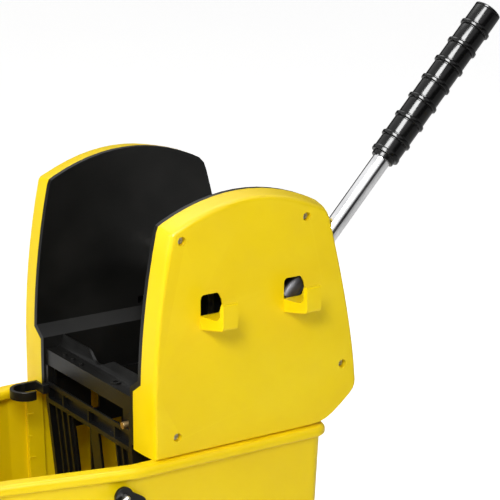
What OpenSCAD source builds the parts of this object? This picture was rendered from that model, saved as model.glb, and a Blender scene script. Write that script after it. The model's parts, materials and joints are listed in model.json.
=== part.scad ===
// Mop bucket on casters with a side-press wringer, every piece a separate node.
// +X runs from the pouring end to the wringer end, +Y to the far side, +Z up, floor at Z = 0.

/* [Bucket] */
// Rim height above the floor
rim_height = 400; // [340:1:480]
// Width across the rim
rim_width = 392; // [326:1:472]
// Rim reach behind the wringer's front edge
back_length = 266; // [226:1:320]
// Rim reach in front of the wringer's front edge
front_length = 285; // [236:1:344]
// Tub wall thickness
tub_wall = 4; // [3:0.1:6]
// Lean of each wall between rim and floor
tub_taper = 14; // [0:1:24]
// Width of the rolled rim
rim_lip = 26; // [20:1:34]
// Height of the rolled rim
rim_drop = 14; // [9:1:20]

/* [Casters] */
// Wheel diameter
wheel_d = 76; // [62:1:92]
// Height of the swivel head above the wheel
caster_head = 34; // [30:1:44]
// Wheel width
wheel_w = 24; // [18:1:32]
// Swivel trail
caster_trail = 22; // [16:1:28]
// Axle diameter
axle_d = 8; // [6:0.5:10]

/* [Bail] */
// Bail wire diameter
bail_d = 8; // [6:0.5:10]
// Bail length from its pivots to its grip
bail_length = 262; // [252:1:314]
// Pivot set back from the wringer's front edge
bail_set = 58; // [46:1:70]

/* [Wringer] */
// Side housing length
wringer_length = 328; // [300:1:380]
// Side housing height above the rim
wringer_height = 336; // [310:1:390]
// Depth of each side cover
cover_depth = 35; // [33:0.5:40]
// Side cover wall
cover_wall = 2.5; // [2:0.1:3]
// Inner panel thickness
panel_t = 8; // [6:0.5:10]
// Step inwards of the panel below its ledge
panel_step = 20; // [12:1:28]
// Basket depth below the rim
basket_depth = 150; // [125:1:180]

/* [Lever] */
// Lever tube diameter
tube_d = 25.4; // [21:0.1:25.4]
// Lever tube wall
tube_wall = 1.5; // [1:0.1:3]
// Lever length from its pivot
lever_length = 492; // [410:1:590]
// Grip length
grip_length = 254; // [210:1:305]
// Lever angle above horizontal at rest
lever_angle = 46.7; // [44:0.1:50]
// Lever travel
lever_swing = 75; // [40:1:75]
// Cross shaft diameter
shaft_d = 18; // [15:0.5:22]

/* [Press] */
// Gear module
gear_mod = 4; // [3.4:0.1:4.8]
// Tooth count of the whole gear
gear_teeth = 30; // [28:2:32]
// Thickness of the gears and racks
gear_face = 8; // [6:0.5:10]
// Press plate thickness
press_t = 6; // [4:0.5:8]

/* [Clearances] */
// Radial clearance of each running fit
run_gap = 0.05; // [0.02:0.01:0.1]
// Gap between bodies that rest on one another
seat_gap = 0.3; // [0.2:0.1:0.6]
// Side gap of sliding parts
slide_gap = 0.5; // [0.3:0.1:1]
// Backlash of the rack teeth
backlash = 0.4; // [0.2:0.1:0.8]

/* [Hidden] */
$fn = 48;
eps = 0.01;

// rim and tub
half_w = rim_width / 2;
wall_in = 8;
floor_t = 4;
lip_z = rim_height - rim_drop;
tub_z = wheel_d + caster_head;
tub_depth = rim_height - tub_z;
back_r = 26;
crease_x = -30;
crease_r = 34;
crease_in = 0.8;
front_r = 62;
spout_r = 34;
inner_r = 6;
rib_w = 26;
rib_out = 6;
level_pitch = 33;

// casters
wheel_r = wheel_d / 2;
caster_x = [back_length - 60, -front_length + 118];
caster_y = [half_w - 74, half_w - 102];
plate_t = 4;
fork_t = 3;
fork_gap = 2;
stem_r = 9;
race_r = 21;
fork_top = tub_z - plate_t - 1;

// bail
bail_r = bail_d / 2;
bail_y = half_w + bail_r + 2;
bail_z = rim_height - 33;
bail_bend = 26;
bail_grip_r = 11;
bail_grip_len = 120;
ear_r = 13;
tub_lean = atan(tub_taper / (tub_depth - rim_drop));
// the hanging bail rests its grip on the tub's pouring end
bail_gap = front_length - wall_in - bail_set + bail_grip_r + seat_gap
    - (lip_z - bail_z) * tan(tub_lean);
bail_drop = tub_lean + acos(bail_gap * cos(tub_lean) / bail_length);

// side housing
sx = wringer_length / 328;
sz = wringer_height / 336;
rim_z = rim_height - 3;
cover_out = half_w - 11;
panel_out = cover_out - cover_depth;
low_out = panel_out - panel_step;
panel_in = panel_out - panel_t;
low_in = low_out - panel_t;
ledge_z = rim_z + 98 * sz;
ledge_low = ledge_z - 14;
panel_foot = rim_z + 8;
seat_z = rim_height + seat_gap;
screw_r = 2.25;
head_r = 4.5;
boss_r = 8;
sink_r = 6;
sink = 9;

// mechanism
gear_r = gear_mod * gear_teeth / 2;
rack_h = 10;
rack_z = ledge_z + rack_h + 1.25 * gear_mod + 8;
pivot_z = rack_z + gear_r;
mesh_y = panel_out + 10;
tube_r = tube_d / 2;
socket_r = tube_r + 2;
bush_out = 1;
lever_y = panel_out + bush_out + 0.8 + socket_r;
socket_start = 30;
socket_end = 96;
hub_r = shaft_d / 2 + 11;
bush_r = shaft_d / 2 + 4;
travel = gear_r * lever_swing * PI / 180;
tooth_pitch = PI * gear_mod;
rack_teeth = ceil(travel / tooth_pitch) + 2;
// the rack's rear end stays clear of the cover's rear wall
pivot_x = min(200 * sx, 300 * sx - (rack_teeth - 1.5) * tooth_pitch);
arm_w = 10;
arm_x = 240 * sx;
arm_z = rack_z - 1.25 * gear_mod - rack_h + 1;
arm_h = rack_h - 2;
press_x = 190 * sx;
press_half = low_in - 6;
basket_back = min(back_length - rim_lip - 10, 236 * sx);
basket_half = low_in - 4;
floor_z = rim_z - basket_depth;
wall_x = 4;
grille_t = 4;
grille_knee = rim_z - 6;
grille_lean = 0.097 * (grille_knee - floor_z);
basket_front = wall_x + grille_t + grille_lean;

// the whole part is centred on its own bounding box
grip_r = 19.5;
rib_r = 22;
// the lever leaves through a slot in the near cover's rear wall
slot_play = 3;
slot_x = 258 * sx;
slot_top = max(rim_z + 294 * sz, pivot_z + (276 * sx - pivot_x) * tan(lever_angle)
    + (tube_r + slot_play) / cos(lever_angle));
tip_reach = pivot_x + (lever_length + 3) * cos(lever_angle) + grip_r * sin(lever_angle);
front_reach = bail_set + bail_length * cos(bail_drop) + bail_grip_r;
origin_x = (tip_reach - front_reach) / 2;

function arc(n, a, b) = [for (i = [0:n]) a + (b - a) * i / n];

// lower rear corner of a housing: back edge, slant and foot
FOOT = [[320.5, 50], [318, 44], [312.5, 37.5], [298, 25.5], [284, 15], [274, 9.5], [264, 6.5], [248, 4.6]];

// side outline of a housing, inset by f at the front, t at the top, b at the back
function side_outline(f, t, b, low) = concat(
    [[f - 7 * sx, low]],
    [for (z = arc(8, 60, 300)) [f + (-7 + 27 * pow((z - 60) / 240, 2)) * sx, rim_z + z * sz]],
    [[f + 23 * sx, rim_z + 307 * sz - t * 0.6]],
    [for (x = arc(12, 30, 252)) [x * sx + (x < 146 ? f * (146 - x) / 116 : b * (146 - x) / 106),
        rim_z + (339 - 27 * pow((x - 146) / 114, 2)) * sz - t]],
    [[264 * sx - b * 0.7, rim_z + 309.5 * sz - t * 0.9], [272 * sx - b, rim_z + 301 * sz - t * 0.6]],
    [for (z = arc(9, 290, 56)) [(321 - 45 * pow(max(z - 53, 0) / 237, 1.4)) * sx - b, rim_z + z * sz]],
    [for (v = FOOT) [v[0] * sx - b, max(low, rim_z + v[1] * sz)]],
    [[225 * sx - b, low]]);

// slab of an X-Z outline between two Y planes
module slab(points, y0, y1) {
    translate([0, y1, 0])
        rotate([90, 0, 0])
            linear_extrude(height = y1 - y0)
                polygon(points);
}

// cylinder along Y between two planes
module rod_y(x, z, r, y0, y1, sides = 48) {
    translate([x, y1, z])
        rotate([90, 0, 0])
            cylinder(r = r, h = y1 - y0, $fn = sides);
}

// cylinder along X
module rod_x(y, z, r, x0, x1, sides = 32) {
    translate([x0, y, z])
        rotate([0, 90, 0])
            cylinder(r = r, h = x1 - x0, $fn = sides);
}

module block(x0, x1, y0, y1, z0, z1) {
    translate([x0, y0, z0])
        cube([x1 - x0, y1 - y0, z1 - z0]);
}

// places a drawing in the shared frame
module placed() {
    translate([-origin_x, 0, 0])
        children();
}

module near() {
    mirror([0, 1, 0])
        children();
}

module both() {
    children();
    near() children();
}

// ---------- bucket ----------

// thin slice of the tub's plan, inset by e
module plan_slice(e, z, h = 0.6) {
    corner = max(back_r - e, inner_r);
    translate([0, 0, z]) {
        for (s = [-1, 1]) {
            translate([back_length - e - corner, s * (half_w - e - corner), 0])
                cylinder(r = corner, h = h, $fn = 32);
            translate([crease_x - 4, s * (half_w - crease_in - crease_r), 0])
                cylinder(r = crease_r - e, h = h, $fn = 32);
            translate([-front_length + 86, s * (half_w * 0.79 - front_r), 0])
                cylinder(r = front_r - e, h = h, $fn = 32);
        }
        translate([-front_length + spout_r, 0, 0])
            cylinder(r = spout_r - e, h = h, $fn = 32);
    }
}

module tub_outer() {
    hull() {
        plan_slice(wall_in, lip_z + 0.4);
        plan_slice(wall_in + tub_taper, tub_z);
    }
}

module tub_inner() {
    hull() {
        plan_slice(wall_in + tub_wall, lip_z - 0.6);
        plan_slice(wall_in + tub_wall + tub_taper - floor_t * tan(tub_lean), tub_z + floor_t);
    }
}

module rim_ring() {
    hull() {
        plan_slice(4, lip_z);
        plan_slice(0, lip_z + 4, rim_drop - 9.4);
        plan_slice(5, rim_height - 0.6);
    }
}

module rim_mouth() {
    hull() {
        plan_slice(rim_lip, lip_z - 5, rim_drop);
        plan_slice(rim_lip - 3, rim_height - 0.3);
    }
}

// upright level rib inside each wall, in front of the wringer
module level_ribs() {
    length = tub_depth - rim_drop - 60;
    both()
        translate([-8, half_w - wall_in - tub_wall - rib_out, lip_z + 1])
            rotate([-tub_lean, 0, 0])
                difference() {
                    translate([0, 0, -length])
                        cube([rib_w, rib_out + 2, length]);
                    for (k = [1:6])
                        translate([-1, -1, -level_pitch * k])
                            cube([5, 4, 2.5]);
                }
}

module bucket() {
    color([0.96, 0.83, 0.05])
        placed()
            difference() {
                union() {
                    difference() {
                        union() {
                            tub_outer();
                            rim_ring();
                        }
                        tub_inner();
                    }
                    level_ribs();
                    both() rod_y(-bail_set, bail_z, ear_r - 3, half_w - 20, half_w - 6);
                }
                rim_mouth();
                both() rod_y(-bail_set, bail_z, bail_r + run_gap, half_w - 16, half_w);
            }
}

// ---------- casters ----------

function caster_at(i) = [caster_x[i < 3 ? 0 : 1], caster_y[i < 3 ? 0 : 1] * (i % 2 == 1 ? -1 : 1), 0];

module at_caster(i) {
    placed()
        translate(caster_at(i))
            children();
}

module caster_plates() {
    color([0.62, 0.64, 0.66])
        for (i = [1:4])
            at_caster(i)
                difference() {
                    union() {
                        translate([-32, -28, tub_z - plate_t])
                            cube([64, 56, plate_t]);
                        translate([0, 0, fork_top - 2])
                            cylinder(r = stem_r, h = tub_z - fork_top);
                        translate([0, 0, fork_top - 11])
                            cylinder(r = stem_r - 3, h = 12);
                        translate([0, 0, fork_top - 11])
                            cylinder(r = stem_r + 2, h = 4);
                    }
                    for (a = [-1, 1], b = [-1, 1])
                        translate([a * 25, b * 20, tub_z - plate_t - 1])
                            cylinder(r = 3.2, h = plate_t + 2, $fn = 24);
                }
}

module fork(i) {
    leg_y = wheel_w / 2 + fork_gap;
    color([0.68, 0.7, 0.72])
        at_caster(i)
            difference() {
                union() {
                    translate([0, 0, fork_top - 6])
                        cylinder(r = race_r, h = 6);
                    for (s = [-1, 1])
                        hull() {
                            translate([0, s * (leg_y + fork_t / 2), fork_top - 6])
                                cube([32, fork_t, 4], center = true);
                            translate([caster_trail, s * (leg_y + fork_t / 2), wheel_r])
                                rotate([90, 0, 0])
                                    cylinder(r = 10, h = fork_t, center = true, $fn = 32);
                        }
                    translate([0, 0, fork_top - 6])
                        cube([32, 2 * (leg_y + fork_t), 4], center = true);
                }
                translate([0, 0, fork_top - 20])
                    cylinder(r = stem_r - 3 + run_gap, h = 30);
                translate([0, 0, fork_top - 20])
                    cylinder(r = stem_r + 4, h = 14);
                translate([0, 0, fork_top - 2 - seat_gap])
                    cylinder(r = stem_r + run_gap, h = 10);
                rod_y(caster_trail, wheel_r, axle_d / 2, -40, 40);
            }
}

module axle(i) {
    end_y = wheel_w / 2 + fork_gap + fork_t;
    color([0.75, 0.76, 0.78])
        at_caster(i) {
            rod_y(caster_trail, wheel_r, axle_d / 2, -end_y, end_y);
            rod_y(caster_trail, wheel_r, axle_d * 0.8, end_y, end_y + 4, 6);
            rod_y(caster_trail, wheel_r, axle_d * 0.8, -end_y - 3, -end_y);
        }
}

module hub(i) {
    color([0.5, 0.51, 0.53])
        at_caster(i)
            translate([caster_trail, 0, wheel_r])
                rotate([90, 0, 0])
                    difference() {
                        union() {
                            cylinder(r = wheel_r - 8, h = wheel_w - 8, center = true);
                            cylinder(r = 10, h = wheel_w + 2 * fork_gap - 2 * slide_gap, center = true);
                        }
                        for (s = [-1, 1])
                            translate([0, 0, s * (wheel_w / 2 - 4)])
                                difference() {
                                    cylinder(r = wheel_r - 13, h = 8, center = true);
                                    cylinder(r = 12, h = 9, center = true);
                                }
                        cylinder(r = axle_d / 2 + run_gap, h = 60, center = true);
                    }
}

module tread(i) {
    color([0.22, 0.22, 0.23])
        at_caster(i)
            translate([caster_trail, 0, wheel_r])
                rotate([90, 0, 0])
                    rotate_extrude($fn = 64)
                        polygon([[wheel_r - 8, -wheel_w / 2 + 4], [wheel_r - 7, -wheel_w / 2 + 1],
                            [wheel_r - 4, -wheel_w / 2], [wheel_r - 1, -wheel_w / 2 + 2.5],
                            [wheel_r, -wheel_w / 2 + 7], [wheel_r, wheel_w / 2 - 7],
                            [wheel_r - 1, wheel_w / 2 - 2.5], [wheel_r - 4, wheel_w / 2],
                            [wheel_r - 7, wheel_w / 2 - 1], [wheel_r - 8, wheel_w / 2 - 4]]);
}

// ---------- bail ----------

module bail_ears() {
    color([0.05, 0.05, 0.05])
        placed()
            both()
                difference() {
                    translate([-bail_set, 0, bail_z])
                        rotate([0, 32, 0])
                            translate([bail_set, 0, -bail_z]) {
                                rod_y(-bail_set, bail_z, ear_r, half_w - 6, half_w - 1);
                                rod_y(-bail_set + 26, bail_z, ear_r - 3, half_w - 6, half_w - 1);
                                block(-bail_set, 26 - bail_set, half_w - 6, half_w - 1,
                                    bail_z - ear_r + 3, bail_z + ear_r - 3);
                            }
                    rod_y(-bail_set, bail_z, bail_r + run_gap, half_w - 20, half_w + 1);
                }
}

module in_bail() {
    translate([-bail_set, 0, bail_z])
        rotate([0, -bail_drop, 0])
            children();
}

module bail_wire() {
    color([0.72, 0.73, 0.75])
        placed()
            in_bail() {
                both() {
                    rod_y(0, 0, bail_r, half_w - 15.5, bail_y);
                    translate([0, bail_y, 0])
                        sphere(r = bail_r);
                    rod_x(bail_y, 0, bail_r, -bail_length + bail_bend, 0, 48);
                    translate([-bail_length + bail_bend, bail_y - bail_bend, 0])
                        rotate([0, 0, 90])
                            rotate_extrude(angle = 90)
                                translate([bail_bend, 0])
                                    circle(r = bail_r);
                }
                rod_y(-bail_length, 0, bail_r, -bail_y + bail_bend, bail_y - bail_bend);
            }
}

module bail_grip() {
    color([0.06, 0.06, 0.06])
        placed()
            in_bail()
                difference() {
                    union() {
                        rod_y(-bail_length, 0, bail_grip_r - 1.5, -bail_grip_len / 2, bail_grip_len / 2);
                        for (k = [-3:3])
                            rod_y(-bail_length, 0, bail_grip_r, k * 18 - 5, k * 18 + 5);
                    }
                    rod_y(-bail_length, 0, bail_r, -bail_grip_len, bail_grip_len);
                }
}

// ---------- side housings, drawn on the far side ----------

// each screw is x, z and the plane it enters
function screw_list() = [
    [37 * sx, rim_z + 293 * sz, panel_out], [229 * sx, rim_z + 298 * sz, panel_out],
    [289 * sx, rim_z + 83 * sz, low_out], [28 * sx, rim_z + 30 * sz, low_out]];

// each window is its left edge and bottom
function window_list() = [[64 * sx, rim_z + 189 * sz], [193 * sx, rim_z + 191 * sz]];
WINDOW = [[0, 0], [0, 21], [1, 25.5], [4, 28], [26, 28], [28.5, 25.5], [32.4, 18], [33.5, 10.5],
    [30.5, 1.5], [28.5, 0]];
hook_out = 45;

module step_prism(y0, y1) {
    translate([-60, 0, 0])
        rotate([90, 0, 90])
            linear_extrude(height = 500 * sx)
                polygon([[y0, seat_z], [y1, seat_z], [y1, ledge_z], [panel_out, ledge_z], [y0, ledge_low]]);
}

// room the panel takes above its ledge
module panel_step_prism() {
    translate([-60, 0, 0])
        rotate([90, 0, 90])
            linear_extrude(height = 500 * sx)
                polygon([[low_in, ledge_low], [low_out, ledge_low], [panel_out, ledge_z],
                    [panel_out, ledge_z + 40], [low_in, ledge_z + 40]]);
}

module cover_shell() {
    difference() {
        union() {
            hull() {
                slab(side_outline(0, 0, 0, seat_z), panel_out, panel_out + 4);
                slab(side_outline(1.6, 2.4, 6.6, seat_z), cover_out - 9, cover_out - 8.9);
                slab(side_outline(2.4, 3.4, 7.6, seat_z + 0.2), cover_out - 5, cover_out - 4.9);
                slab(side_outline(3.9, 5.2, 9.4, seat_z + 0.8), cover_out - 1.9, cover_out - 1.8);
                slab(side_outline(7, 9, 13, seat_z + 2.4), cover_out - 0.1, cover_out);
            }
            intersection() {
                slab(side_outline(0, 0, 0, seat_z), low_out, panel_out + 1);
                step_prism(low_out, panel_out + 1);
            }
        }
        hull() {
            slab(side_outline(cover_wall, cover_wall, cover_wall, seat_z + cover_wall),
                panel_out - eps, panel_out + 4);
            slab(side_outline(cover_wall + 4, cover_wall + 5, cover_wall + 11, seat_z + cover_wall),
                cover_out - cover_wall - 0.1, cover_out - cover_wall);
        }
        slab(side_outline(cover_wall, cover_wall, cover_wall, seat_z + cover_wall),
            low_out - 1, panel_out + 1);
    }
}

// upturned hook under a window, tapering outwards
module hook(w) {
    out = cover_out + hook_out;
    intersection() {
        translate([w[0] - 1, 0, w[1]])
            rotate([90, 0, 90])
                linear_extrude(height = 34)
                    polygon([[cover_out - 1, -18], [cover_out + 4, -17.5], [out - 6, -11], [out - 2, -9.5],
                        [out, -5], [out, 22], [out - 1, 24.5], [out - 4, 24.5], [out - 6, 22], [out - 7, 7],
                        [out - 12, 2], [out - 20, 0.4], [cover_out - 1, 0]]);
        translate([w[0], 0, w[1] - 20])
            linear_extrude(height = 60)
                polygon([[0, cover_out - 1], [30, cover_out - 1], [28.5, out], [6.5, out]]);
    }
}

module cover() {
    difference() {
        union() {
            cover_shell();
            difference() {
                for (s = screw_list())
                    rod_y(s[0], s[1], boss_r, s[2], cover_out - 1);
                panel_step_prism();
            }
            for (w = window_list())
                hook(w);
        }
        for (w = window_list())
            translate([w[0], 0, w[1]])
                slab(WINDOW, cover_out - 8, cover_out + 0.6);
        for (s = screw_list()) {
            rod_y(s[0], s[1], screw_r, s[2] - 1, cover_out + 1, 32);
            rod_y(s[0], s[1], sink_r, cover_out - sink, cover_out + 1, 32);
        }
    }
}

module cover_near() {
    color([0.96, 0.84, 0.05])
        placed()
            near()
                difference() {
                    cover();
                    block(slot_x, 345 * sx, panel_out - 1, cover_out - cover_wall - 0.5,
                        rim_z + 100 * sz, slot_top);
                }
}

module cover_far() {
    color([0.96, 0.84, 0.05])
        placed()
            cover();
}

module panel() {
    top_z = rim_z + 345 * sz;
    difference() {
        intersection() {
            slab(side_outline(0, 0, 0, seat_z), low_in, panel_out);
            translate([-60, 0, 0])
                rotate([90, 0, 90])
                    linear_extrude(height = 500 * sx)
                        polygon([[panel_out, top_z], [panel_out, ledge_z], [low_out, ledge_low],
                            [low_out, panel_foot], [low_in, panel_foot], [low_in, ledge_low + 4],
                            [panel_in, ledge_z + 4], [panel_in, top_z]]);
        }
        rod_y(pivot_x, pivot_z, bush_r, low_in, cover_out);
        block(arm_x - travel - 3, arm_x + arm_w + 3, panel_in - 1, panel_out + 1,
            arm_z - 1.5, arm_z + arm_h + 1.5);
        for (s = screw_list())
            rod_y(s[0], s[1], screw_r, s[2] - panel_t + 2, s[2] + 6, 32);
    }
}

module panel_near() {
    color([0.03, 0.03, 0.035])
        placed()
            near() panel();
}

module panel_far() {
    color([0.03, 0.03, 0.035])
        placed()
            panel();
}

module cover_screws() {
    color([0.72, 0.72, 0.7])
        placed()
            both()
                for (s = screw_list())
                    difference() {
                        union() {
                            rod_y(s[0], s[1], screw_r, s[2] - panel_t + 2, cover_out - sink, 32);
                            rod_y(s[0], s[1], head_r, cover_out - sink, cover_out - sink + 3, 32);
                        }
                        block(s[0] - 4, s[0] + 4, cover_out - sink + 1.8, cover_out, s[1] - 0.6, s[1] + 0.6);
                        block(s[0] - 0.6, s[0] + 0.6, cover_out - sink + 1.8, cover_out, s[1] - 4, s[1] + 4);
                    }
}

module housing_straps() {
    color([0.75, 0.76, 0.78])
        placed()
            both()
                difference() {
                    block(96 * sx, 96 * sx + 8, panel_out, panel_out + 3, rim_z + 124 * sz, rim_z + 290 * sz);
                    for (z = [134, 280])
                        rod_y(96 * sx + 4, rim_z + z * sz, 2, panel_out - 1, panel_out + 4, 24);
                }
}

// ---------- basket between the housings ----------

module splash_ledge() {
    lip_top = rim_z + 71.5 * sz;
    foot = rim_z + 49 * sz;
    rear = rim_z + 87.5 * sz;
    half = low_in;
    back_x = wall_x + grille_t;
    ring_y = -0.49 * low_in;
    color([0.05, 0.05, 0.045])
        placed()
            difference() {
                union() {
                    slab([[-3, foot], [back_x, foot], [back_x, foot + 3], [0.5, foot + 3],
                        [0.5, lip_top - 3], [15, lip_top - 3], [20, lip_top - 1.5], [24, lip_top + 4],
                        [27.5, rear - 1], [26.5, rear + 0.5], [24.5, rear + 0.5], [20.5, lip_top + 6],
                        [17, lip_top + 1.5], [12, lip_top], [-3, lip_top]], -half, half);
                    for (k = [0.27, 0.47, 0.66])
                        translate([5, k * half, lip_top - 1])
                            cylinder(r = 3, h = 4, $fn = 24);
                    translate([7, ring_y, lip_top - 1])
                        cylinder(r = 7, h = 4, $fn = 32);
                }
                translate([10, 0, rear])
                    rotate([90, 0, 90])
                        linear_extrude(height = 30)
                            polygon(concat([for (i = arc(16, -1, 1))
                                    [13 + 42 * i, 1 - 6.5 * (1 + cos(180 * i))]],
                                [[55, 4], [-29, 4]]));
                translate([7, ring_y, lip_top - 10])
                    cylinder(r = 4, h = 30, $fn = 32);
            }
}

// outline of the leaning front wall and its neighbours, between two offsets
function lean_wall(x0, x1, top) = [[wall_x + x0, top], [wall_x + x0, grille_knee],
    [wall_x + x0 + grille_lean, floor_z], [wall_x + x1 + grille_lean, floor_z],
    [wall_x + x1, grille_knee], [wall_x + x1, top]];

module front_grille() {
    top = rim_z + 49 * sz;
    half = low_in;
    rail_x = wall_x - 9;
    color([0.035, 0.035, 0.04])
        placed()
            difference() {
                union() {
                    slab(lean_wall(0, grille_t, top), -half, half);
                    block(rail_x, rail_x + 3, -half, half, rim_z + 18, rim_z + 25);
                    block(rail_x, wall_x + 1, -half, half, grille_knee, grille_knee + 7);
                    for (y = [-0.6, 0, 0.6])
                        block(rail_x + 1, wall_x + 1, y * half - 1.5, y * half + 1.5,
                            grille_knee + 5, rim_z + 22);
                    for (s = [-1, 1], k = [0.56, 0.7, 0.84])
                        slab(lean_wall(-4, 1, grille_knee + 1), s * k * half - 2, s * k * half + 2);
                    for (s = [-1, 1])
                        slab(lean_wall(-9, 1, top), s * (half - 4) - 4, s * (half - 4) + 4);
                }
                block(wall_x - 1, wall_x + grille_t + 1, -0.68 * half, half - 12, rim_z + 16, top - 4);
                for (s = [-1, 1])
                    block(0, 60, s * (6 + 0.25 * half) - 0.25 * half + 6,
                        s * (6 + 0.25 * half) + 0.25 * half - 6,
                        floor_z + 12, grille_knee - 3);
                rod_x(-half + 22, rim_z + 27, 2.5, wall_x - 1, wall_x + grille_t + 1, 24);
                rod_x(-half + 22, rim_z + 27, 5.3, rail_x - 5, wall_x, 32);
            }
}

module grille_screws() {
    y = -low_in + 22;
    color([0.78, 0.64, 0.3])
        placed() {
            rod_x(y, rim_z + 27, 2.5, wall_x - 1, wall_x + grille_t, 24);
            rod_x(y, rim_z + 27, 5, wall_x - 11, wall_x, 32);
        }
}

module basket() {
    half = basket_half;
    top = panel_foot + 16;
    slots = (basket_back - basket_front - 36) / 7;
    color([0.035, 0.035, 0.04])
        placed() {
            difference() {
                block(basket_front, basket_back, -half - 4, half + 4, floor_z, floor_z + 4);
                for (s = [-1, 1], k = [0:6])
                    block(basket_front + 18 + k * slots, basket_front + 28 + k * slots,
                        s * (half / 2 - 3) - half / 2 + 11, s * (half / 2 - 3) + half / 2 - 11,
                        floor_z - 1, floor_z + 5);
            }
            both()
                difference() {
                    slab([[wall_x + grille_t, top], [wall_x + grille_t, grille_knee],
                        [basket_front, floor_z + 2], [basket_back, floor_z + 2], [basket_back, top]],
                        half, half + 4);
                    block(65 * sx, 78.5 * sx, half - 1, half + 5, rim_z - 31, panel_foot - 1);
                    for (x = [[36, 64], [78, 116], [130, 162], [176, 208]])
                        block(x[0] * sx, x[1] * sx, half - 1, half + 5, floor_z + 16, rim_z - 52);
                }
        }
}

module back_grille() {
    x0 = basket_back;
    half = low_in;
    color([0.035, 0.035, 0.04])
        placed()
            difference() {
                union() {
                    block(x0, x0 + 4, -half, half, floor_z, ledge_low - 6);
                    block(x0 + 3, x0 + 9, -half, half, rim_z + 14, rim_z + 22);
                    block(x0 + 3, x0 + 9, -half, half, ledge_low - 14, ledge_low - 6);
                }
                for (k = [-4:4])
                    block(x0 - 1, x0 + 5, k * 24 - 6, k * 24 + 6, floor_z + 12, rim_z + 6);
                for (k = [-4:4])
                    block(x0 - 1, x0 + 5, k * 24 - 6, k * 24 + 6, rim_z + 28, ledge_low - 20);
            }
}

// open ring at the far front corner that holds the mop handle
module mop_hook() {
    ring_x = -40;
    ring_y = low_in - 6;
    ring_r = 22;
    ring_t = 5;
    z0 = rim_z + 9;
    z1 = z0 + 13;
    post_x = wall_x - 9;
    color([0.06, 0.055, 0.05])
        placed()
            difference() {
                union() {
                    translate([ring_x, ring_y, z0])
                        cylinder(r = ring_r, h = z1 - z0);
                    block(ring_x, -11, ring_y + ring_r - ring_t, ring_y + ring_r, z0, z1);
                    block(-15, -11, low_in - 12, ring_y + ring_r, z0, z1);
                    block(-12, post_x, low_in - 12, low_in, z0, z1);
                }
                translate([ring_x, ring_y, z0 - 1])
                    cylinder(r = ring_r - ring_t, h = z1 - z0 + 2);
                block(ring_x + 7, -15, ring_y - 30, ring_y + ring_r - ring_t, z0 - 1, z1 + 1);
            }
}

// ---------- shaft, lever and gear sectors ----------

module shaft_bushes() {
    color([0.78, 0.62, 0.3])
        placed()
            both()
                difference() {
                    union() {
                        rod_y(pivot_x, pivot_z, bush_r, panel_in - 3, panel_out + bush_out);
                        rod_y(pivot_x, pivot_z, bush_r + 3, panel_in - 3, panel_in);
                    }
                    rod_y(pivot_x, pivot_z, shaft_d / 2 + run_gap, panel_in - 5, panel_out + 5);
                }
}

module cross_shaft() {
    color([0.7, 0.71, 0.73])
        placed()
            rod_y(pivot_x, pivot_z, shaft_d / 2, -mesh_y - 15, mesh_y + 15);
}

// involute of the base circle, as radius and polar angle at roll angle a
base_r = gear_r * cos(20);
function inv_angle(r) = let (t = sqrt(max(r * r / (base_r * base_r) - 1, 0))) t * 180 / PI - atan(t);
function polar(r, a) = [r * cos(a), r * sin(a)];
tooth_half = 90 / gear_teeth - backlash / 2 / gear_r * 180 / PI / 2 + inv_angle(gear_r);
tip_r = gear_r + gear_mod * 0.95;
root_r = gear_r - gear_mod * 1.25;

module tooth() {
    polygon(concat(
        [polar(root_r - 3, -tooth_half)],
        [polar(min(root_r, base_r), -tooth_half)],
        [for (r = arc(6, max(base_r, root_r), tip_r)) polar(r, -(tooth_half - inv_angle(r)))],
        [for (r = arc(6, tip_r, max(base_r, root_r))) polar(r, tooth_half - inv_angle(r))],
        [polar(min(root_r, base_r), tooth_half)],
        [polar(root_r - 3, tooth_half)]));
}

first_tooth = -1;
last_tooth = ceil(lever_swing / (360 / gear_teeth)) + 1;

module sector_plate() {
    pitch = 360 / gear_teeth;
    lo = -90 + first_tooth * pitch;
    hi = -90 + last_tooth * pitch;
    translate([pivot_x, mesh_y + gear_face, pivot_z])
        rotate([90, 0, 0])
            linear_extrude(height = gear_face)
                union() {
                    polygon(concat([[0, 0]], [for (a = arc(16, lo, hi)) polar(root_r, a)]));
                    for (k = [first_tooth:last_tooth - 1])
                        rotate(-90 + (k + 0.5) * pitch)
                            tooth();
                }
}

module sector_far() {
    color([0.12, 0.12, 0.13])
        placed()
            difference() {
                union() {
                    sector_plate();
                    rod_y(pivot_x, pivot_z, hub_r, panel_out + 5, mesh_y + 14);
                }
                rod_y(pivot_x, pivot_z, shaft_d / 2, panel_out, cover_out);
            }
}

// a frame whose +X runs along the lever
module along_lever() {
    translate([pivot_x, lever_y, pivot_z])
        rotate([0, -lever_angle, 0])
            children();
}

module sector_near() {
    color([0.12, 0.12, 0.13])
        placed()
            near()
                difference() {
                    union() {
                        sector_plate();
                        rod_y(pivot_x, pivot_z, hub_r, panel_out + 5, mesh_y + 14);
                        along_lever()
                            rod_x(0, 0, socket_r, 8, socket_end, 48);
                    }
                    rod_y(pivot_x, pivot_z, shaft_d / 2, panel_out, cover_out);
                    along_lever() {
                        rod_x(0, 0, tube_r, socket_start, socket_end + 10, 48);
                        rod_y(76, 0, 3, -30, 30, 32);
                    }
                }
}

module lever_tube() {
    color([0.85, 0.86, 0.88])
        placed()
            near()
                along_lever()
                    difference() {
                        rod_x(0, 0, tube_r, socket_start, lever_length - 6, 48);
                        rod_x(0, 0, tube_r - tube_wall, socket_start - 1, lever_length, 48);
                        rod_y(76, 0, 3, -30, 30, 32);
                    }
}

module lever_pin() {
    color([0.7, 0.71, 0.73])
        placed()
            near()
                along_lever()
                    rod_y(76, 0, 3, -socket_r + 0.8, socket_r - 0.8, 32);
}

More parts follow.
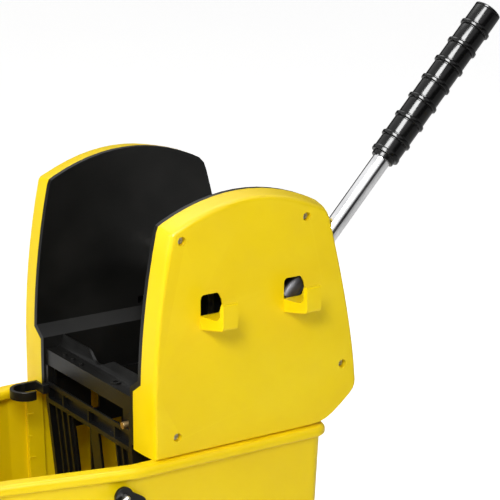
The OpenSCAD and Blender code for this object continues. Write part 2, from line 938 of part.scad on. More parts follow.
module lever_grip() {
    start = lever_length - grip_length;
    pitch = grip_length / 8.2;
    color([0.03, 0.03, 0.03])
        placed()
            near()
                along_lever()
                    difference() {
                        union() {
                            rod_x(0, 0, grip_r, start + 6, lever_length, 48);
                            rod_x(0, 0, grip_r - 3, start, start + 7, 48);
                            for (k = [0:6])
                                translate([start + 24 + k * pitch, 0, 0])
                                    rotate([0, 90, 0])
                                        rotate_extrude()
                                            polygon([[grip_r - 1, -8], [rib_r - 0.8, -5], [rib_r, -2],
                                                [rib_r, 2], [rib_r - 0.8, 5], [grip_r - 1, 8]]);
                        }
                        rod_x(0, 0, tube_r, start - 1, lever_length + 1, 48);
                    }
}

module grip_cap() {
    color([0.04, 0.04, 0.04])
        placed()
            near()
                along_lever() {
                    rod_x(0, 0, tube_r, lever_length - 6, lever_length, 48);
                    rod_x(0, 0, grip_r, lever_length, lever_length + 3, 48);
                    rod_x(0, 0, grip_r - 2, lever_length + 3, lever_length + 4, 48);
                    rod_x(0, 0, tube_r - tube_wall, lever_length - 20, lever_length - 6, 48);
                }
}

// ---------- press ----------

module rack() {
    low = rack_z - 1.25 * gear_mod - rack_h;
    half = tooth_pitch / 4 - backlash / 4;
    x0 = pivot_x - 1.5 * tooth_pitch;
    translate([0, mesh_y + gear_face, 0])
        rotate([90, 0, 0])
            linear_extrude(height = gear_face)
                union() {
                    translate([x0, low])
                        square([rack_teeth * tooth_pitch, rack_h]);
                    for (k = [0:rack_teeth - 1])
                        translate([x0 + (k + 0.5) * tooth_pitch, rack_z])
                            polygon([[-half - 1.25 * gear_mod * tan(20), -1.25 * gear_mod],
                                [half + 1.25 * gear_mod * tan(20), -1.25 * gear_mod],
                                [half - 0.95 * gear_mod * tan(20), 0.95 * gear_mod],
                                [-half + 0.95 * gear_mod * tan(20), 0.95 * gear_mod]]);
                }
}

module rack_far() {
    color([0.6, 0.61, 0.63])
        placed()
            rack();
}

module rack_near() {
    color([0.6, 0.61, 0.63])
        placed()
            near() rack();
}

module rack_guides() {
    low = rack_z - 1.25 * gear_mod - rack_h - slide_gap;
    x0 = pivot_x - 1.5 * tooth_pitch - travel - 4;
    x1 = 286 * sx;
    y1 = mesh_y + gear_face + slide_gap;
    color([0.04, 0.04, 0.045])
        placed()
            both() {
                block(x0, x1, panel_out, y1 + 2.5, low - 4, low);
                block(x0, x1, y1, y1 + 2.5, low - 1, low + 8);
            }
}

module press_plate() {
    z0 = floor_z + 4 + slide_gap + 1;
    z1 = rim_z + 148 * sz;
    wide = panel_in - 8;
    step = ledge_low + 4;
    color([0.05, 0.05, 0.055])
        placed() {
            difference() {
                translate([press_x, 0, 0])
                    rotate([90, 0, 90])
                        linear_extrude(height = press_t)
                            polygon([[-press_half, z0], [press_half, z0], [press_half, step - 4],
                                [wide, step + 18], [wide, z1], [-wide, z1], [-wide, step + 18],
                                [-press_half, step - 4]]);
                for (i = [-3:3], j = [0:5])
                    translate([press_x - 1, i * 0.24 * low_in, z0 + 32 + j * 38])
                        rotate([0, 90, 0])
                            cylinder(r = 7, h = press_t + 2, $fn = 24);
            }
            for (s = [-1, 1], y = [0.12 * low_in, 0.6 * low_in])
                block(press_x + press_t - 1, press_x + press_t + 8, s * y - 2, s * y + 2, z0 + 8, z1 - 8);
            both() {
                block(press_x + press_t - 1, arm_x + arm_w, panel_in - 16, panel_in - 8,
                    arm_z, arm_z + arm_h);
                block(arm_x, arm_x + arm_w, panel_in - 10, mesh_y, arm_z, arm_z + arm_h);
            }
        }
}

bucket();
caster_plates();
fork(1);  // fork_1
fork(2);  // fork_2
fork(3);  // fork_3
fork(4);  // fork_4
axle(1);  // axle_1
axle(2);  // axle_2
axle(3);  // axle_3
axle(4);  // axle_4
hub(1);  // hub_1
hub(2);  // hub_2
hub(3);  // hub_3
hub(4);  // hub_4
tread(1);  // tread_1
tread(2);  // tread_2
tread(3);  // tread_3
tread(4);  // tread_4
bail_ears();
bail_wire();
bail_grip();
cover_near();
cover_far();
panel_near();
panel_far();
cover_screws();
housing_straps();
splash_ledge();
front_grille();
grille_screws();
basket();
back_grille();
mop_hook();
shaft_bushes();
rack_guides();
cross_shaft();
sector_near();
sector_far();
lever_tube();
lever_pin();
lever_grip();
grip_cap();
press_plate();
rack_near();
rack_far();
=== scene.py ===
import json
import math
import bmesh
import bpy
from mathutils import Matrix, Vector


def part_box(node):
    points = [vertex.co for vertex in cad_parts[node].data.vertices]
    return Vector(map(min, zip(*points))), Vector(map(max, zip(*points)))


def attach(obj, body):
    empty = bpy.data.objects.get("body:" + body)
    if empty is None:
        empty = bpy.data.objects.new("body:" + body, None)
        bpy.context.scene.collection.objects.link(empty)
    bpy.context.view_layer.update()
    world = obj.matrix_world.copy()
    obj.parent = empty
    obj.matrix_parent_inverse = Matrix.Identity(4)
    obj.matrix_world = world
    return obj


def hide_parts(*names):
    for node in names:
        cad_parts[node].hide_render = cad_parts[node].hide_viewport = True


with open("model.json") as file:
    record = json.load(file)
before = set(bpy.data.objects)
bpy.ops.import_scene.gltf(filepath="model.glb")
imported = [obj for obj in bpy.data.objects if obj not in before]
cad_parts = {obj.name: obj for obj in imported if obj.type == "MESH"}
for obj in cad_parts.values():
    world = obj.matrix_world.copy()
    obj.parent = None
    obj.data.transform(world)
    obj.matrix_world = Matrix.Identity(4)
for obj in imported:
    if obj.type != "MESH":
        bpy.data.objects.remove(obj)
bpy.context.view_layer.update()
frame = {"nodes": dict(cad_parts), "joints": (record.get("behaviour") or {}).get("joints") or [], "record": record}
NODES = frame["nodes"]
RECORD = frame["record"]
BODY_OF = {n: b for b, ns in RECORD["behaviour"]["bodies"].items() for n in ns}
SLOT_OF = {s["node"]: s["material_slot"] for s in RECORD["subparts"]}
JOINT = {j["name"]: j for j in frame["joints"]}
MM = 0.001

# ---------------------------------------------------------------- materials


class Shade:
    """A node material being built, with short names for the nodes it uses."""

    def __init__(self, name):
        self.mat = bpy.data.materials.new(name)
        self.mat.use_nodes = True
        self.tree = self.mat.node_tree
        self.tree.nodes.clear()
        self.out = self.add("ShaderNodeOutputMaterial")
        self.bsdf = self.add("ShaderNodeBsdfPrincipled")
        self.link(self.bsdf, "BSDF", self.out, "Surface")
        self.coord = self.add("ShaderNodeTexCoord")

    def add(self, kind, **sets):
        node = self.tree.nodes.new(kind)
        for key, value in sets.items():
            if hasattr(node, key):
                setattr(node, key, value)
            else:
                node.inputs[key.replace("_", " ")].default_value = value
        return node

    def link(self, a, out, b, into):
        self.tree.links.new(a.outputs[out], b.inputs[into])

    def mapping(self, scale=(1, 1, 1), turn=(0, 0, 0)):
        node = self.add("ShaderNodeMapping")
        node.inputs["Scale"].default_value = scale
        node.inputs["Rotation"].default_value = turn
        self.link(self.coord, "Object", node, "Vector")
        return node

    def noise(self, scale, detail=4.0, rough=0.5, stretch=(1, 1, 1), turn=(0, 0, 0), distort=0.0):
        node = self.add("ShaderNodeTexNoise")
        node.inputs["Scale"].default_value = scale
        node.inputs["Detail"].default_value = detail
        node.inputs["Roughness"].default_value = rough
        node.inputs["Distortion"].default_value = distort
        self.link(self.mapping(stretch, turn), "Vector", node, "Vector")
        return node

    def ramp(self, node, out, stops):
        r = self.add("ShaderNodeValToRGB")
        while len(r.color_ramp.elements) < len(stops):
            r.color_ramp.elements.new(0.5)
        for element, (place, value) in zip(r.color_ramp.elements, stops):
            element.position = place
            element.color = value if len(value) == 4 else (*value, 1)
        self.link(node, out, r, "Fac")
        return r

    def span(self, node, out, lo, hi, to_lo, to_hi):
        r = self.add("ShaderNodeMapRange")
        r.inputs["From Min"].default_value = lo
        r.inputs["From Max"].default_value = hi
        r.inputs["To Min"].default_value = to_lo
        r.inputs["To Max"].default_value = to_hi
        self.link(node, out, r, "Value")
        return r

    def math(self, op, a, b):
        m = self.add("ShaderNodeMath", operation=op)
        for i, v in enumerate((a, b)):
            if isinstance(v, tuple):
                self.tree.links.new(v[0].outputs[v[1]], m.inputs[i])
            else:
                m.inputs[i].default_value = v
        return m

    def mix(self, factor, a, b):
        """Mixes two colours, each a node's output or a plain colour."""
        m = self.add("ShaderNodeMix", data_type="RGBA")
        if isinstance(factor, tuple):
            self.tree.links.new(factor[0].outputs[factor[1]], m.inputs[0])
        else:
            m.inputs[0].default_value = factor
        for i, v in ((6, a), (7, b)):
            if isinstance(v[0], bpy.types.Node):
                self.tree.links.new(v[0].outputs[v[1]], m.inputs[i])
            else:
                m.inputs[i].default_value = (*v, 1)
        return (m, 2)

    def bump(self, layers):
        """Stacks bumps, each (node, output, strength, distance in metres)."""
        last = None
        for node, out, strength, distance in layers:
            b = self.add("ShaderNodeBump")
            b.inputs["Strength"].default_value = strength
            b.inputs["Distance"].default_value = distance
            self.link(node, out, b, "Height")
            if last:
                self.link(last, "Normal", b, "Normal")
            last = b
        self.link(last, "Normal", self.bsdf, "Normal")

    def colour(self, source):
        self.tree.links.new(source[0].outputs[source[1]], self.bsdf.inputs["Base Color"])

    def rough(self, node, out):
        self.link(node, out, self.bsdf, "Roughness")


def worn_edges(s, low=0.52, high=0.62):
    geometry = s.add("ShaderNodeNewGeometry")
    return s.span(geometry, "Pointiness", low, high, 0.0, 1.0)


def plastic(name, base, pale, deep, rough, grain, scuff=0.5, dust=(0.5, 0.47, 0.4), dusty=0.05, coat=0.0,
            specular=0.5):
    """Moulded plastic: slow colour drift, fine mould grain, thin scuffs, light dust and paler worn edges."""
    s = Shade(name)
    drift = s.noise(7, 3)
    fine = s.noise(grain, 3, 0.6)
    ripple = s.noise(38, 2)
    scratch = s.noise(60, 6, 0.7, (1, 9, 1.6), (0.3, 0.5, 0.9), 1.5)
    blot = s.noise(16, 5, 0.65)
    tone = s.ramp(drift, "Fac", [(0.3, deep), (0.55, base), (0.8, pale)])
    lines = s.ramp(scratch, "Fac", [(0.60, (0, 0, 0)), (0.66, (1, 1, 1)), (0.70, (0, 0, 0))])
    mark = s.math("MULTIPLY", (lines, "Color"), (s.span(blot, "Fac", 0.5, 0.7, 0.0, scuff), "Result"))
    edge = s.math("MULTIPLY", (worn_edges(s), "Result"), scuff)
    colour = s.mix((mark, "Value"), (tone, "Color"), pale)
    colour = s.mix((edge, "Value"), colour, pale)
    film = s.span(blot, "Fac", 0.42, 0.8, 0.0, dusty)
    colour = s.mix((film, "Result"), colour, dust)
    s.colour(colour)
    base_rough = s.span(blot, "Fac", 0.3, 0.75, rough, rough + 0.12)
    mark_rough = s.math("MULTIPLY", (mark, "Value"), 0.25)
    s.rough(s.math("ADD", (base_rough, "Result"), (mark_rough, "Value")), "Value")
    s.bump([(ripple, "Fac", 0.06, 0.0006), (fine, "Fac", 0.16, 0.00012), (mark, "Value", 0.12, 0.0001)])
    s.bsdf.inputs["Specular IOR Level"].default_value = specular
    s.bsdf.inputs["Coat Weight"].default_value = coat
    s.bsdf.inputs["Coat Roughness"].default_value = 0.12
    return s.mat


def metal(name, base, dark, rough, grain, stretch=(1, 1, 1), spots=0.2, bump=0.1):
    """Bare or plated metal: tarnish patches, drawn or cast grain and dulled spots."""
    s = Shade(name)
    cloud = s.noise(22, 5, 0.6)
    lines = s.noise(grain, 3, 0.6, stretch)
    pits = s.noise(240, 4, 0.7)
    tone = s.ramp(cloud, "Fac", [(0.35, dark), (0.62, base)])
    pit = s.span(pits, "Fac", 0.62, 0.75, 0.0, spots)
    s.colour(s.mix((pit, "Result"), (tone, "Color"), dark))
    s.bsdf.inputs["Metallic"].default_value = 1.0
    total = s.math("ADD", (s.span(cloud, "Fac", 0.3, 0.7, rough, rough + 0.08), "Result"),
                   (s.span(lines, "Fac", 0.3, 0.7, 0.0, 0.08), "Result"))
    s.rough(total, "Value")
    s.bump([(lines, "Fac", bump, 0.0001), (pit, "Result", 0.2, 0.0001)])
    return s.mat


def rubber(name, base, dust):
    """Tread rubber: matt, dusty in noise-driven patches, with a pebbled bump."""
    s = Shade(name)
    pebble = s.noise(900, 3, 0.6)
    cloud = s.noise(45, 5, 0.7)
    film = s.span(cloud, "Fac", 0.4, 0.72, 0.05, 0.5)
    s.colour(s.mix((film, "Result"), base, dust))
    s.rough(s.span(cloud, "Fac", 0.3, 0.7, 0.62, 0.85), "Result")
    s.bump([(pebble, "Fac", 0.3, 0.0002), (cloud, "Fac", 0.2, 0.0006)])
    return s.mat


MATERIALS = {
    "yellow_plastic": plastic("yellow_plastic_mat", (0.86, 0.62, 0.0), (0.90, 0.68, 0.008),
                              (0.82, 0.575, 0.0), 0.30, 1500, 0.3, (0.70, 0.58, 0.2), 0.03, 0.04, 0.26),
    "black_plastic": plastic("black_plastic_mat", (0.0045, 0.0045, 0.004), (0.014, 0.0135, 0.012),
                             (0.003, 0.003, 0.003), 0.28, 1100, 0.3, (0.08, 0.07, 0.05), 0.015, 0.0, 0.26),
    "grip_plastic": plastic("grip_plastic_mat", (0.003, 0.003, 0.003), (0.008, 0.008, 0.0075),
                            (0.002, 0.002, 0.002), 0.10, 900, 0.15, (0.05, 0.05, 0.045), 0.01, 0.0, 0.32),
    "wheel_plastic": plastic("wheel_plastic_mat", (0.2, 0.205, 0.21), (0.33, 0.33, 0.33),
                             (0.14, 0.14, 0.145), 0.42, 900, 0.5, (0.3, 0.27, 0.22), 0.15),
    "chrome": metal("chrome_mat", (0.92, 0.92, 0.93), (0.75, 0.75, 0.76), 0.05, 500, (1, 1, 1), 0.06, 0.02),
    "steel": metal("steel_mat", (0.56, 0.56, 0.54), (0.30, 0.30, 0.29), 0.24, 380, (1, 1, 6), 0.35, 0.12),
    "gear_iron": metal("gear_iron_mat", (0.09, 0.09, 0.095), (0.04, 0.04, 0.042), 0.38, 300, (1, 1, 1),
                       0.4, 0.4),
    "bronze": metal("bronze_mat", (0.66, 0.46, 0.2), (0.38, 0.24, 0.1), 0.28, 420, (1, 1, 1), 0.3, 0.12),
    "tread_rubber": rubber("tread_rubber_mat", (0.035, 0.035, 0.037), (0.22, 0.2, 0.17)),
}

# ---------------------------------------------------------------- mesh helpers


def even_normals(mesh, angle):
    """Shading normals weighted by face area, so large flat faces stay flat beside their rounded edges."""
    limit = math.cos(math.radians(angle))
    normals = [p.normal.copy() for p in mesh.polygons]
    areas = [p.area for p in mesh.polygons]
    around = [[] for _ in mesh.vertices]
    for p in mesh.polygons:
        p.use_smooth = True
        for v in p.vertices:
            around[v].append(p.index)
    out = [(0.0, 0.0, 0.0)] * len(mesh.loops)
    for p in mesh.polygons:
        n = normals[p.index]
        for corner in p.loop_indices:
            total = Vector()
            for k in around[mesh.loops[corner].vertex_index]:
                if normals[k].dot(n) >= limit:
                    total += normals[k] * areas[k]
            out[corner] = total.normalized() if total.length > 0 else n
    mesh.normals_split_custom_set(out)


def settle(obj, body, slot, smooth=38.0, replaced=()):
    """Gives a piece its slot's material, its shading and its body, and hides the CAD nodes it stands for."""
    obj.data.materials.clear()
    obj.data.materials.append(MATERIALS[slot])
    even_normals(obj.data, smooth)
    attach(obj, body)
    if replaced:
        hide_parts(*replaced)
    return obj


def bevelled(bm, name, width, segments=2, angle=30.0):
    """Turns a bmesh into an object whose hard edges are rounded to a width in metres."""
    bmesh.ops.remove_doubles(bm, verts=bm.verts, dist=2e-6)
    bmesh.ops.dissolve_limit(bm, angle_limit=math.radians(0.6), verts=bm.verts, edges=bm.edges)
    mesh = bpy.data.meshes.new(name)
    bm.to_mesh(mesh)
    bm.free()
    obj = bpy.data.objects.new(name, mesh)
    bpy.context.scene.collection.objects.link(obj)
    if width > 0:
        m = obj.modifiers.new("edge", "BEVEL")
        m.width = width
        m.segments = segments
        m.limit_method = "ANGLE"
        m.angle_limit = math.radians(angle)
        m.use_clamp_overlap = True
        done = bpy.data.meshes.new_from_object(obj.evaluated_get(bpy.context.evaluated_depsgraph_get()))
        obj.modifiers.clear()
        obj.data = done
    return obj


def dress(node, width, segments=2, angle=30.0, smooth=38.0):
    """A copy of a CAD node with its hard edges rounded, standing for that node."""
    bm = bmesh.new()
    bm.from_mesh(NODES[node].data)
    obj = bevelled(bm, node + "_skin", width, segments, angle)
    return settle(obj, BODY_OF[node], SLOT_OF[node], smooth, (node,))


# ---------------------------------------------------------------- tub

# millimetres, with X measured from the wringer's front edge
BACK = 266.0
LIP_DROP = 14
TAPER = 14
WALL_IN = 8
WALL = 4
MIN_R = 3.0
CORNER_R = 26.0
CREASE_X = -34.0
CREASE_R = 34.0
CREASE_IN = 0.8
FRONT_R = 62.0
FRONT_SHARE = 0.79
SPOUT_R = 34.0
FLOOR_R = 15
FOOT_R = 12
WALL_LEVELS = (160, 220, 280, 340)

TUB_LO, TUB_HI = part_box("bucket")
FRONT_EDGE = TUB_HI.x - BACK * MM
HALF_W = TUB_HI.y / MM
FRONT = (FRONT_EDGE - TUB_LO.x) / MM
RIM_Z = TUB_HI.z / MM
TUB_Z = TUB_LO.z / MM
LIP_Z = RIM_Z - LIP_DROP
LEAN = TAPER / (LIP_Z - TUB_Z)


def plan_circles():
    """The tub's plan as a hull of circles: centre, radius, and the centre's way once the radius is used up."""
    out = []
    for s in (-1, 1):
        out.append((BACK - CORNER_R, s * (HALF_W - CORNER_R), CORNER_R, (-1, -s)))
        out.append((CREASE_X, s * (HALF_W - (CREASE_R + CREASE_IN)), CREASE_R, (0, -s)))
        out.append((86 - FRONT, s * (HALF_W * FRONT_SHARE - FRONT_R), FRONT_R, (0, 0)))
    out.append((SPOUT_R - FRONT, 0.0, SPOUT_R, (1, 0)))
    return out


CIRCLES = plan_circles()


def supports(steps=288):
    """Normal angles round the plan, each with the circle it touches, doubled where the circle changes."""
    def best(a):
        return max(range(len(CIRCLES)), key=lambda k: CIRCLES[k][0] * math.cos(a)
                   + CIRCLES[k][1] * math.sin(a) + CIRCLES[k][2])
    out = []
    for i in range(steps):
        a0, a1 = 2 * math.pi * i / steps, 2 * math.pi * (i + 1) / steps
        k0, k1 = best(a0), best(a1)
        out.append((a0, k0))
        if k0 != k1:
            lo, hi = a0, a1
            for _ in range(30):
                mid = (lo + hi) / 2
                lo, hi = (mid, hi) if best(mid) == k0 else (lo, mid)
            out += [(lo, k0), (hi, k1)]
    return out


SUPPORTS = supports()


def plan_ring(e, z):
    ring = []
    for a, k in SUPPORTS:
        cx, cy, r, way = CIRCLES[k]
        left = max(r - e, MIN_R)
        extra = e - (r - left)
        x = cx + way[0] * extra + left * math.cos(a)
        y = cy + way[1] * extra + left * math.sin(a)
        ring.append(Vector((FRONT_EDGE + x * MM, y * MM, z * MM)))
    return ring


def arc_points(cx, cy, r, a0, a1, n):
    return [(cx + r * math.cos(math.radians(a0 + (a1 - a0) * i / n)),
             cy + r * math.sin(math.radians(a0 + (a1 - a0) * i / n))) for i in range(n + 1)]


def tub_section():
    """The wall's section as (inset, height), from the inner floor, over the rim, to underneath."""
    def inner(z):
        return WALL_IN + WALL + (LIP_Z - z) * LEAN

    def outer(z):
        return WALL_IN + (LIP_Z - z) * LEAN

    def turn(e, z, r, step):
        """A quarter turn of radius r, from flat to upright, ending at inset e."""
        return [(e + r - r * math.sin(math.radians(t)), z + r - r * math.cos(math.radians(t)))
                for t in range(0, 91, step)]

    floor = TUB_Z + WALL
    points = turn(inner(floor), floor, FLOOR_R, 15)
    points += [(inner(z), z) for z in (*WALL_LEVELS, LIP_Z - 9)]
    points += [(inner(LIP_Z) + 0.4, LIP_Z - 3), (16, LIP_Z - 0.4), (22, LIP_Z)]
    points += arc_points(22, LIP_Z + 4, 4, -90, 0, 4)[1:]
    points += arc_points(19.5, RIM_Z - 6.5, 6.5, 0, 90, 6)
    points += [(13, RIM_Z)]
    points += [(8 - 8 * math.sin(math.radians(t)), RIM_Z - 7 + 7 * math.cos(math.radians(t)))
               for t in range(0, 91, 12)]
    points += [(0, LIP_Z + 4)]
    points += [(4 - 4 * math.cos(math.radians(t)), LIP_Z + 4 - 4 * math.sin(math.radians(t)))
               for t in range(18, 91, 18)]
    points += [(6.4, LIP_Z), (7.6, LIP_Z - 0.5), (outer(LIP_Z - 3), LIP_Z - 3)]
    points += [(outer(z), z) for z in (LIP_Z - 12, *reversed(WALL_LEVELS))]
    points += [(outer(TUB_Z) + FOOT_R - FOOT_R * math.cos(math.radians(t)),
                TUB_Z + FOOT_R - FOOT_R * math.sin(math.radians(t))) for t in range(0, 91, 15)]
    return points


def loft(rings):
    bm = bmesh.new()
    rows = [[bm.verts.new(p) for p in ring] for ring in rings]
    n = len(rows[0])
    for a, b in zip(rows, rows[1:]):
        for i in range(n):
            j = (i + 1) % n
            bm.faces.new((a[i], a[j], b[j], b[i]))
    for row, flip in ((rows[0], True), (rows[-1], False)):
        centre = bm.verts.new(sum((v.co for v in row), Vector()) / n)
        for i in range(n):
            j = (i + 1) % n
            bm.faces.new((centre, row[j], row[i]) if flip else (centre, row[i], row[j]))
    bmesh.ops.recalc_face_normals(bm, faces=bm.faces)
    return bm


def finish_mesh(bm, name):
    mesh = bpy.data.meshes.new(name)
    bm.to_mesh(mesh)
    bm.free()
    obj = bpy.data.objects.new(name, mesh)
    bpy.context.scene.collection.objects.link(obj)
    return obj


def solid(name, points, axis_from, axis_to, place, width, segments=3, angle=30.0):
    """An outline pushed between two depths, placed by a function of (u, v, depth), with rounded edges."""
    bm = bmesh.new()
    rows = [[bm.verts.new(place(u, v, d)) for u, v in points] for d in (axis_from, axis_to)]
    n = len(points)
    for i in range(n):
        j = (i + 1) % n
        bm.faces.new((rows[0][i], rows[0][j], rows[1][j], rows[1][i]))
    bm.faces.new(rows[0])
    bm.faces.new(rows[1])
    bmesh.ops.recalc_face_normals(bm, faces=bm.faces)
    return bevelled(bm, name, width, segments, angle)


tub = finish_mesh(loft([plan_ring(e, z) for e, z in tub_section()]), "tub_shell")
settle(tub, "bucket", "yellow_plastic", 32, ("bucket",))


MARK_PITCH = 33
MARKS = 6


def level_rib(side):
    """The upright rib with level notches inside the wall, in front of the wringer."""
    length, top = LIP_Z - TUB_Z - 46, LIP_Z + 1
    outline = [(-2.5, 0), (-2.5, -length), (6, -length), (6, 0)]

    def place(u, v, d):
        y = HALF_W - WALL_IN - WALL - 3.5 + u + v * LEAN
        return Vector((FRONT_EDGE + d * MM, side * y * MM, (top + v) * MM))
    obj = solid("level_rib_" + ("near" if side < 0 else "far"), outline, -8.0, 18.0, place, 0.9 * MM)
    return settle(obj, "bucket", "yellow_plastic")


def level_mark(side, k):
    """One of the level marks that stand proud of the rib."""
    top = LIP_Z + 1 - MARK_PITCH * k

    def place(u, v, d):
        y = HALF_W - WALL_IN - WALL - 6.6 + u - MARK_PITCH * k * LEAN
        return Vector((FRONT_EDGE + d * MM, side * y * MM, (top + v) * MM))
    outline = [(-0.9, -1.3), (1.5, -1.3), (1.5, 1.3), (-0.9, 1.3)]
    name = f"level_mark_{'near' if side < 0 else 'far'}_{k}"
    obj = solid(name, outline, -8.3, 2.0 if k % 2 else -2.0, place, 0.4 * MM)
    return settle(obj, "bucket", "yellow_plastic")


for side in (-1, 1):
    level_rib(side)
    for k in range(1, MARKS + 1):
        level_mark(side, k)

# ---------------------------------------------------------------- dressed CAD pieces

for node in ("cover_near", "cover_far"):
    dress(node, 1.4 * MM, 3, 34, 40)
for node in ("panel_near", "panel_far"):
    dress(node, 1.0 * MM, 2, 30)
for node in ("splash_ledge", "front_grille", "basket", "back_grille", "press_plate", "rack_guides"):
    dress(node, 0.8 * MM, 2, 30)
dress("mop_hook", 1.6 * MM, 3, 40, 50)
dress("bail_ears", 1.2 * MM, 3, 40)
for node in ("sector_near", "sector_far", "rack_near", "rack_far"):
    dress(node, 0.4 * MM, 1, 30)
for node in ("caster_plates", "housing_straps", "cover_screws", "grille_screws", "shaft_bushes",
             "cross_shaft"):
    dress(node, 0.5 * MM, 2, 40)
for i in range(1, 5):
    dress(f"fork_{i}", 0.6 * MM, 2, 40)
    dress(f"axle_{i}", 0.5 * MM, 2, 40)
    dress(f"hub_{i}", 0.8 * MM, 2, 40)
    dress(f"tread_{i}", 0, 1, 40, 60)


def turned(name, profile, start, along, sides=72):
    """A profile of (distance, radius) in millimetres turned round an axis and closed at both ends."""
    up = Vector((0, 1, 0))
    across = up.cross(along).normalized()
    rings = []
    for u, r in profile:
        ring = []
        for i in range(sides):
            t = 2 * math.pi * i / sides
            ring.append(start + along * (u * MM) + (across * math.cos(t) + up * math.sin(t)) * (r * MM))
        rings.append(ring)
    return finish_mesh(loft(rings), name)


GRIP_R = 19.5
GRIP_RIB_R = 22.0
GRIP_BORE_R = 12.75
GRIP_RIBS = 7


def ribbed_grip():
    """The lever's grip: a moulded sleeve with seven narrow rings, each between two shallow grooves."""
    pivot = Vector(JOINT["lever_swing"]["pos_m"])
    lo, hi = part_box("grip_cap")
    middle = (lo + hi) / 2
    start = Vector((pivot.x, middle.y, pivot.z))
    along = (middle - start).normalized()
    reach = [(v.co - start).dot(along) / MM for v in NODES["lever_grip"].data.vertices]
    u0, u1 = min(reach), max(reach)
    length = u1 - u0
    r, rib = GRIP_R, GRIP_RIB_R
    profile = [(u0 + 0.05, GRIP_BORE_R), (u0 + 0.05, r - 3.6), (u0 + 0.7, r - 3.0), (u0 + 5.4, r - 3.0),
               (u0 + 6.0, r - 2.6), (u0 + 6.1, r + 0.6), (u0 + 6.8, r + 1.2), (u0 + 11.5, r + 1.2),
               (u0 + 12.6, r + 0.5), (u0 + 13.2, r)]
    half_rib = [(5.4, r), (4.5, r - 0.7), (3.3, r - 0.6), (2.7, rib - 0.9), (1.9, rib - 0.1)]
    for k in range(GRIP_RIBS):
        c = u0 + length * (0.133 + 0.125 * k)
        profile += [(c - u, v) for u, v in half_rib]
        profile += [(c + u, v) for u, v in reversed(half_rib)]
    profile += [(u1 - 1.2, r), (u1 - 0.4, r - 0.3), (u1 - 0.05, r - 1.0), (u1 - 0.05, GRIP_BORE_R)]
    obj = turned("lever_grip_skin", profile, start, along)
    return settle(obj, BODY_OF["lever_grip"], "grip_plastic", 48, ("lever_grip",))


ribbed_grip()
dress("grip_cap", 1.2 * MM, 3, 50)
dress("bail_grip", 0.8 * MM, 2, 50)
dress("bail_wire", 0, 1, 50, 60)
dress("lever_tube", 0.3 * MM, 1, 50)
dress("lever_pin", 0.4 * MM, 2, 40)

# ---------------------------------------------------------------- stage, lights and camera


def area_light(name, place, target, size, power, colour=(1, 1, 1), size_y=None):
    data = bpy.data.lights.new(name, "AREA")
    data.shape = "RECTANGLE"
    data.size = size
    data.size_y = size_y or size
    data.energy = power
    data.color = colour
    obj = bpy.data.objects.new(name, data)
    bpy.context.scene.collection.objects.link(obj)
    obj.location = place
    obj.rotation_euler = (Vector(target) - Vector(place)).to_track_quat("-Z", "Y").to_euler()
    return obj


def make_floor():
    bm = bmesh.new()
    bmesh.ops.create_grid(bm, x_segments=8, y_segments=8, size=22)
    obj = finish_mesh(bm, "floor")
    s = Shade("floor_mat")
    cloud = s.noise(0.7, 3)
    tone = s.mix((s.span(cloud, "Fac", 0.3, 0.7, 0.0, 1.0), "Result"), (0.84, 0.84, 0.84),
                 (0.87, 0.87, 0.86))
    s.colour(tone)
    s.bsdf.inputs["Roughness"].default_value = 0.7
    path = s.add("ShaderNodeLightPath")
    glow = s.add("ShaderNodeEmission")
    glow.inputs["Color"].default_value = (1, 1, 1, 1)
    glow.inputs["Strength"].default_value = 0.62
    both = s.add("ShaderNodeAddShader")
    pick = s.add("ShaderNodeMixShader")
    s.link(s.bsdf, "BSDF", both, 0)
    s.link(glow, "Emission", both, 1)
    s.link(path, "Is Camera Ray", pick, "Fac")
    s.tree.links.new(s.bsdf.outputs["BSDF"], pick.inputs[1])
    s.tree.links.new(both.outputs["Shader"], pick.inputs[2])
    s.link(pick, "Shader", s.out, "Surface")
    obj.data.materials.append(s.mat)


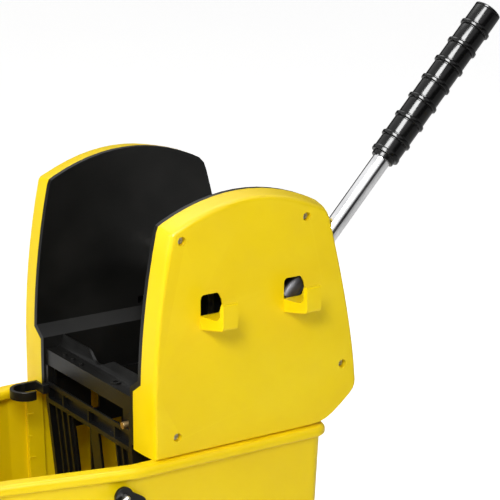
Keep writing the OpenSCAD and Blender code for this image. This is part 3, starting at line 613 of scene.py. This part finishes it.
def make_world():
    world = bpy.data.worlds.new("studio")
    bpy.context.scene.world = world
    world.use_nodes = True
    tree = world.node_tree
    tree.nodes.clear()
    out = tree.nodes.new("ShaderNodeOutputWorld")
    seen = tree.nodes.new("ShaderNodeBackground")
    lit = tree.nodes.new("ShaderNodeBackground")
    mix = tree.nodes.new("ShaderNodeMixShader")
    path = tree.nodes.new("ShaderNodeLightPath")
    coord = tree.nodes.new("ShaderNodeTexCoord")
    split = tree.nodes.new("ShaderNodeSeparateXYZ")
    ramp = tree.nodes.new("ShaderNodeValToRGB")
    stops = ramp.color_ramp.elements
    stops[0].position, stops[0].color = 0.35, (0.10, 0.10, 0.10, 1)
    stops[1].position, stops[1].color = 0.75, (0.62, 0.62, 0.62, 1)
    tree.links.new(coord.outputs["Generated"], split.inputs["Vector"])
    remap = tree.nodes.new("ShaderNodeMapRange")
    remap.inputs["From Min"].default_value = -1.0
    tree.links.new(split.outputs["Z"], remap.inputs["Value"])
    tree.links.new(remap.outputs["Result"], ramp.inputs["Fac"])
    tree.links.new(ramp.outputs["Color"], lit.inputs["Color"])
    lit.inputs["Strength"].default_value = 0.62
    seen.inputs["Color"].default_value = (1, 1, 1, 1)
    seen.inputs["Strength"].default_value = 1.12
    shine_ramp = tree.nodes.new("ShaderNodeValToRGB")
    bands = shine_ramp.color_ramp.elements
    bands[0].position, bands[0].color = 0.655, (0.03, 0.03, 0.03, 1)
    bands[1].position, bands[1].color = 0.72, (0.95, 0.95, 0.95, 1)
    shine = tree.nodes.new("ShaderNodeBackground")
    shine_mix = tree.nodes.new("ShaderNodeMixShader")
    tree.links.new(remap.outputs["Result"], shine_ramp.inputs["Fac"])
    tree.links.new(shine_ramp.outputs["Color"], shine.inputs["Color"])
    tree.links.new(path.outputs["Is Glossy Ray"], shine_mix.inputs["Fac"])
    tree.links.new(lit.outputs["Background"], shine_mix.inputs[1])
    tree.links.new(shine.outputs["Background"], shine_mix.inputs[2])
    tree.links.new(path.outputs["Is Camera Ray"], mix.inputs["Fac"])
    tree.links.new(shine_mix.outputs["Shader"], mix.inputs[1])
    tree.links.new(seen.outputs["Background"], mix.inputs[2])
    tree.links.new(mix.outputs["Shader"], out.inputs["Surface"])


make_floor()
make_world()
area_light("key", (-1.6, -2.0, 2.15), (0, -0.1, 0.5), 0.75, 41)
area_light("side", (-2.4, 0.9, 1.5), (0, 0, 0.5), 1.3, 26)
area_light("top", (0.3, 0.9, 2.6), (0, 0, 0.5), 1.2, 16)
area_light("fill", (-2.5, -2.0, 1.25), (0, 0, 0.45), 1.3, 7)
area_light("tub", (-0.75, -0.55, 1.25), (-0.27, 0.2, 0.36), 0.5, 3.2)
softbox = area_light("softbox", (-0.95, -1.165, 2.63), (0.347, -0.166, 0.873), 1.2, 150)
softbox.visible_diffuse = False

YAW, PITCH = math.radians(32.944), math.radians(15.77)
LENS = 149.484744
# metres from the wringer's front edge, the middle and 3 mm under the rim
CAMERA_PLACE = (-1.26854, -2.358161, 0.997591)
camera_data = bpy.data.cameras.new("camera")
camera = bpy.data.objects.new("camera", camera_data)
bpy.context.scene.collection.objects.link(camera)
camera_data.sensor_width = 36.0
camera_data.lens = LENS
camera_data.clip_end = 60
camera.location = (FRONT_EDGE + CAMERA_PLACE[0], CAMERA_PLACE[1], (RIM_Z - 3) * MM + CAMERA_PLACE[2])
camera.rotation_euler = Vector((math.sin(YAW) * math.cos(PITCH), math.cos(YAW) * math.cos(PITCH),
                                -math.sin(PITCH))).to_track_quat("-Z", "Y").to_euler()
bpy.context.scene.camera = camera
bpy.context.scene.view_settings.view_transform = "Standard"
